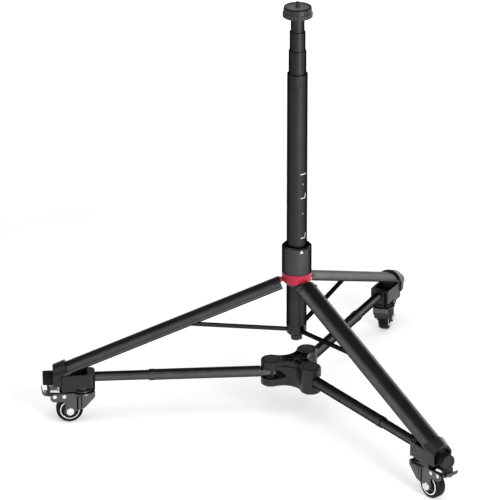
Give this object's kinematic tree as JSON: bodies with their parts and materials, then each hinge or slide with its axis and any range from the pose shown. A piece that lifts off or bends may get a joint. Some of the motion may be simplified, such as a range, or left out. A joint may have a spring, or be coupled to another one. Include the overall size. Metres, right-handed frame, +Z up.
{
  "type": "rolling tripod stand",
  "caption": "Telescopic column stand on folding channel legs, clamped by its feet into a star-shaped dolly with telescopic arms and braked swivel casters.",
  "frame": {"origin": "middle of the footprint's bounding box at floor level, a little off the column axis", "axes": "+Z up along the column and its stud; one arm points along +Y, the two others lie 120 degrees to its sides"},
  "size_m": [0.7415, 0.6457, 0.7174],
  "materials": {
    "hub_black": "satin black moulding",
    "moulded_black": "fine-grained black moulding",
    "tube_black": "satin black paint",
    "tube_satin": "satin black, slightly worn by sliding",
    "leg_black": "semi-gloss black powder coat",
    "rod_black": "black coated strip",
    "collar_grey": "dark grey satin",
    "hub_red": "red anodised ring",
    "head_black": "matt black grip",
    "knob_black": "fluted black knob",
    "fork_grey": "dark grey coated pressing",
    "pedal_black": "black coated pressing",
    "wheel_core": "dark grey wheel centre",
    "tyre": "matt black rubber tread",
    "foot_rubber": "black rubber foot",
    "zinc": "bright zinc plate"
  },
  "bodies": {
    "dolly": {"dolly_hub": "hub_black", "dolly_hub_base": "hub_black", "arm_pivot_back": "zinc", "arm_pivot_left": "zinc", "arm_pivot_right": "zinc", "arm_outer_back": "tube_black", "arm_outer_left": "tube_black", "arm_outer_right": "tube_black"},
    "stand": {"leg_hub": "hub_red", "leg_pin_back": "zinc", "leg_pin_left": "zinc", "leg_pin_right": "zinc"},
    "collar": {"lock_collar": "collar_grey"},
    "column": {"tube_d": "tube_black", "column_slider": "moulded_black"},
    "mast_c": {"tube_c": "tube_black"},
    "snap_button": {"tube_button": "zinc"},
    "mast_b": {"tube_b": "tube_black"},
    "mast_a": {"tube_a": "tube_black", "head_disc": "head_black", "head_stud": "zinc"},
    "arm_back": {"arm_inner_back": "tube_satin", "end_box_back": "moulded_black", "foot_hood_back": "moulded_black", "caster_plate_back": "zinc"},
    "knob_back": {"knob_back": "knob_black"},
    "fork_back": {"caster_fork_back": "fork_grey", "axle_back": "zinc"},
    "wheel_back": {"wheel_tyre_back": "tyre", "wheel_hub_back": "wheel_core"},
    "brake_back": {"brake_pedal_back": "pedal_black"},
    "leg_back": {"leg_back": "leg_black", "leg_foot_back": "foot_rubber"},
    "rod_back": {"brace_rod_back": "rod_black"},
    "arm_left": {"arm_inner_left": "tube_satin", "end_box_left": "moulded_black", "foot_hood_left": "moulded_black", "caster_plate_left": "zinc"},
    "knob_left": {"knob_left": "knob_black"},
    "fork_left": {"caster_fork_left": "fork_grey", "axle_left": "zinc"},
    "wheel_left": {"wheel_tyre_left": "tyre", "wheel_hub_left": "wheel_core"},
    "brake_left": {"brake_pedal_left": "pedal_black"},
    "leg_left": {"leg_left": "leg_black", "leg_foot_left": "foot_rubber"},
    "rod_left": {"brace_rod_left": "rod_black"},
    "arm_right": {"arm_inner_right": "tube_satin", "end_box_right": "moulded_black", "foot_hood_right": "moulded_black", "caster_plate_right": "zinc"},
    "knob_right": {"knob_right": "knob_black"},
    "fork_right": {"caster_fork_right": "fork_grey", "axle_right": "zinc"},
    "wheel_right": {"wheel_tyre_right": "tyre", "wheel_hub_right": "wheel_core"},
    "brake_right": {"brake_pedal_right": "pedal_black"},
    "leg_right": {"leg_right": "leg_black", "leg_foot_right": "foot_rubber"},
    "rod_right": {"brace_rod_right": "rod_black"}
  },
  "joints": [
    {"name": "stand_lift", "type": "slide", "parent": "dolly", "child": "stand", "axis": [0, 0, 1], "range_m": [0, 0.0858]},
    {"name": "collar_twist", "type": "hinge", "parent": "stand", "child": "collar", "pos_m": [0, -0.0984, 0.278], "axis": [0, 0, 1], "range_deg": [0, 75]},
    {"name": "column_drop", "type": "slide", "parent": "stand", "child": "column", "axis": [0, 0, 1], "range_m": [-0.10304, 0]},
    {"name": "mast_c_slide", "type": "slide", "parent": "column", "child": "mast_c", "axis": [0, 0, 1], "range_m": [0, 0.4]},
    {"name": "snap_button_press", "type": "slide", "parent": "mast_c", "child": "snap_button", "axis": [-0.866, -0.5, 0], "range_m": [0, 0.0009], "stiffness_N_per_m": 400},
    {"name": "mast_b_slide", "type": "slide", "parent": "mast_c", "child": "mast_b", "axis": [0, 0, 1], "range_m": [0, 0.4]},
    {"name": "mast_a_slide", "type": "slide", "parent": "mast_b", "child": "mast_a", "axis": [0, 0, 1], "range_m": [0, 0.4]},
    {"name": "arm_slide_back", "type": "slide", "parent": "dolly", "child": "arm_back", "axis": [0, 1, 0], "range_m": [0, 0.026]},
    {"name": "knob_turn_back", "type": "hinge", "parent": "arm_back", "child": "knob_back", "pos_m": [0, 0.3096, 0.077], "axis": [0, 1, 0], "continuous": true},
    {"name": "swivel_back", "type": "hinge", "parent": "arm_back", "child": "fork_back", "pos_m": [0, 0.2536, 0.055], "axis": [0, 0, 1], "continuous": true},
    {"name": "wheel_spin_back", "type": "hinge", "parent": "fork_back", "child": "wheel_back", "pos_m": [-0.00451, 0.27483, 0.0221], "axis": [-0.9781, -0.2079, 0], "continuous": true},
    {"name": "brake_press_back", "type": "hinge", "parent": "fork_back", "child": "brake_back", "pos_m": [-0.00645, 0.28392, 0.0484], "axis": [-0.9781, -0.2079, 0], "range_deg": [0, 10]},
    {"name": "leg_fold_back", "type": "hinge", "parent": "stand", "child": "leg_back", "pos_m": [0, -0.0654, 0.2355], "axis": [-1, 0, 0], "range_deg": [0, 12.04]},
    {"name": "rod_fold_back", "type": "hinge", "parent": "leg_back", "child": "rod_back", "pos_m": [0, 0.0916, 0.1678], "axis": [1, 0, 0], "range_deg": [0, 35.3]},
    {"name": "arm_slide_left", "type": "slide", "parent": "dolly", "child": "arm_left", "axis": [-0.866, -0.5, 0], "range_m": [0, 0.026]},
    {"name": "knob_turn_left", "type": "hinge", "parent": "arm_left", "child": "knob_left", "pos_m": [-0.35334, -0.3024, 0.077], "axis": [-0.866, -0.5, 0], "continuous": true},
    {"name": "swivel_left", "type": "hinge", "parent": "arm_left", "child": "fork_left", "pos_m": [-0.30484, -0.2744, 0.055], "axis": [0, 0, 1], "continuous": true},
    {"name": "wheel_spin_left", "type": "hinge", "parent": "fork_left", "child": "wheel_left", "pos_m": [-0.32304, -0.28622, 0.0221], "axis": [0.5446, -0.8387, 0], "continuous": true},
    {"name": "brake_press_left", "type": "hinge", "parent": "fork_left", "child": "brake_left", "pos_m": [-0.33084, -0.29128, 0.0484], "axis": [0.5446, -0.8387, 0], "range_deg": [0, 10]},
    {"name": "leg_fold_left", "type": "hinge", "parent": "stand", "child": "leg_left", "pos_m": [-0.02858, -0.1149, 0.2355], "axis": [0.5, -0.866, 0], "range_deg": [0, 12.04]},
    {"name": "rod_fold_left", "type": "hinge", "parent": "leg_left", "child": "rod_left", "pos_m": [-0.16454, -0.1934, 0.1678], "axis": [-0.5, 0.866, 0], "range_deg": [0, 35.3]},
    {"name": "arm_slide_right", "type": "slide", "parent": "dolly", "child": "arm_right", "axis": [0.866, -0.5, 0], "range_m": [0, 0.026]},
    {"name": "knob_turn_right", "type": "hinge", "parent": "arm_right", "child": "knob_right", "pos_m": [0.35334, -0.3024, 0.077], "axis": [0.866, -0.5, 0], "continuous": true},
    {"name": "swivel_right", "type": "hinge", "parent": "arm_right", "child": "fork_right", "pos_m": [0.30484, -0.2744, 0.055], "axis": [0, 0, 1], "continuous": true},
    {"name": "wheel_spin_right", "type": "hinge", "parent": "fork_right", "child": "wheel_right", "pos_m": [0.32451, -0.28357, 0.0221], "axis": [0.4226, 0.9063, 0], "continuous": true},
    {"name": "brake_press_right", "type": "hinge", "parent": "fork_right", "child": "brake_right", "pos_m": [0.33294, -0.2875, 0.0484], "axis": [0.4226, 0.9063, 0], "range_deg": [0, 10]},
    {"name": "leg_fold_right", "type": "hinge", "parent": "stand", "child": "leg_right", "pos_m": [0.02858, -0.1149, 0.2355], "axis": [0.5, 0.866, 0], "range_deg": [0, 12.04]},
    {"name": "rod_fold_right", "type": "hinge", "parent": "leg_right", "child": "rod_right", "pos_m": [0.16454, -0.1934, 0.1678], "axis": [-0.5, -0.866, 0], "range_deg": [0, 35.3]}
  ],
  "couplings": [
    {"joint": "column_drop", "follows": "stand_lift", "ratio": -1.1951},
    {"joint": "leg_fold_back", "follows": "stand_lift", "rad_per_m": 2.439},
    {"joint": "rod_fold_back", "follows": "stand_lift", "rad_per_m": 7.1707},
    {"joint": "leg_fold_left", "follows": "stand_lift", "rad_per_m": 2.439},
    {"joint": "rod_fold_left", "follows": "stand_lift", "rad_per_m": 7.1707},
    {"joint": "leg_fold_right", "follows": "stand_lift", "rad_per_m": 2.439},
    {"joint": "rod_fold_right", "follows": "stand_lift", "rad_per_m": 7.1707}
  ]
}
